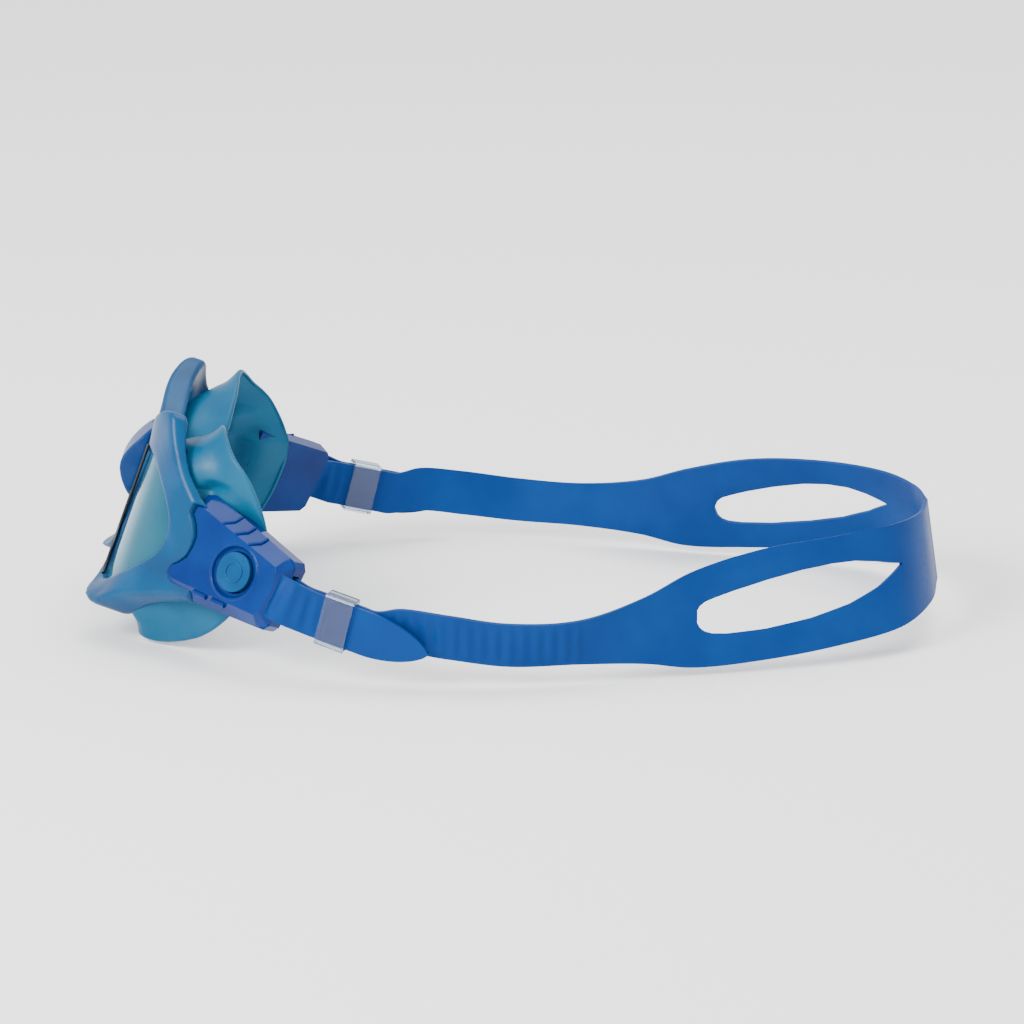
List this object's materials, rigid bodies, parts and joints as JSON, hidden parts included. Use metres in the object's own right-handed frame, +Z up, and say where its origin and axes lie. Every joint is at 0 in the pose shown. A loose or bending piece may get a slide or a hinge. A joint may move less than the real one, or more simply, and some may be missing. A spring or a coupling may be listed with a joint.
{
  "type": "swim goggles",
  "caption": "Wrap-around sports protective goggles for swimming, with soft eye cups, push-button strap buckles and a split head strap.",
  "frame": {"origin": "centre of the bounding box in X and Y, on the table that the goggles rest on", "axes": "+Z up, +X to the wearer's left across the goggles, +Y from the mask towards the back of the strap"},
  "size_m": [0.171, 0.2679, 0.0741],
  "materials": {
    "frame": "frosted translucent",
    "bridge": "satin translucent",
    "lens": "clear polycarbonate, polished",
    "gasket": "matt",
    "skirt": "soft translucent silicone, satin",
    "buckle": "glossy translucent",
    "pin": "ground",
    "button": "glossy",
    "pawl": "moulded",
    "spring": "drawn wire",
    "roller": "smooth",
    "keeper": "clear glossy",
    "strap": "satin silicone, ribbed"
  },
  "bodies": {
    "mask": {"frame": "frame", "nose_bridge": "bridge", "strap": "strap", "lens_left": "lens", "lens_gasket_left": "gasket", "skirt_left": "skirt", "buckle_base_left": "buckle", "buckle_cover_left": "buckle", "pawl_pin_left": "pin", "roller_pin_left": "pin", "lens_right": "lens", "lens_gasket_right": "gasket", "skirt_right": "skirt", "buckle_base_right": "buckle", "buckle_cover_right": "buckle", "pawl_pin_right": "pin", "roller_pin_right": "pin"},
    "button_left": {"release_button_left": "button"},
    "pawl_left": {"pawl_left": "pawl", "pawl_spring_left": "spring"},
    "roller_left": {"strap_roller_left": "roller"},
    "keeper_left": {"keeper_left": "keeper"},
    "button_right": {"release_button_right": "button"},
    "pawl_right": {"pawl_right": "pawl", "pawl_spring_right": "spring"},
    "roller_right": {"strap_roller_right": "roller"},
    "keeper_right": {"keeper_right": "keeper"}
  },
  "joints": [
    {"name": "left_button_press", "type": "slide", "parent": "mask", "child": "button_left", "axis": [-0.7834, 0.5158, -0.3469], "range_m": [0, 0.0009], "stiffness_N_per_m": 400, "springref_m": -0.0005},
    {"name": "left_pawl_tilt", "type": "hinge", "parent": "mask", "child": "pawl_left", "pos_m": [0.05544, -0.08694, 0.03134], "axis": [-0.1185, 0.4239, 0.8979], "range_deg": [0, 6.37]},
    {"name": "left_roller_spin", "type": "hinge", "parent": "mask", "child": "roller_left", "pos_m": [0.06779, -0.07387, 0.02679], "axis": [-0.1185, 0.4239, 0.8979], "continuous": true},
    {"name": "left_keeper_slide", "type": "slide", "parent": "mask", "child": "keeper_left", "axis": [0.2824, 0.9237, -0.2588], "range_m": [-0.004, 0.004]},
    {"name": "right_button_press", "type": "slide", "parent": "mask", "child": "button_right", "axis": [0.7834, 0.5158, -0.3469], "range_m": [0, 0.0009], "stiffness_N_per_m": 400, "springref_m": -0.0005},
    {"name": "right_pawl_tilt", "type": "hinge", "parent": "mask", "child": "pawl_right", "pos_m": [-0.05544, -0.08694, 0.03134], "axis": [-0.1185, -0.4239, -0.8979], "range_deg": [0, 6.37]},
    {"name": "right_roller_spin", "type": "hinge", "parent": "mask", "child": "roller_right", "pos_m": [-0.06779, -0.07387, 0.02679], "axis": [-0.1185, -0.4239, -0.8979], "continuous": true},
    {"name": "right_keeper_slide", "type": "slide", "parent": "mask", "child": "keeper_right", "axis": [-0.2824, 0.9237, -0.2588], "range_m": [-0.004, 0.004]}
  ],
  "couplings": [
    {"joint": "left_pawl_tilt", "follows": "left_button_press", "rad_per_m": 117.65},
    {"joint": "right_pawl_tilt", "follows": "right_button_press", "rad_per_m": 117.65}
  ]
}
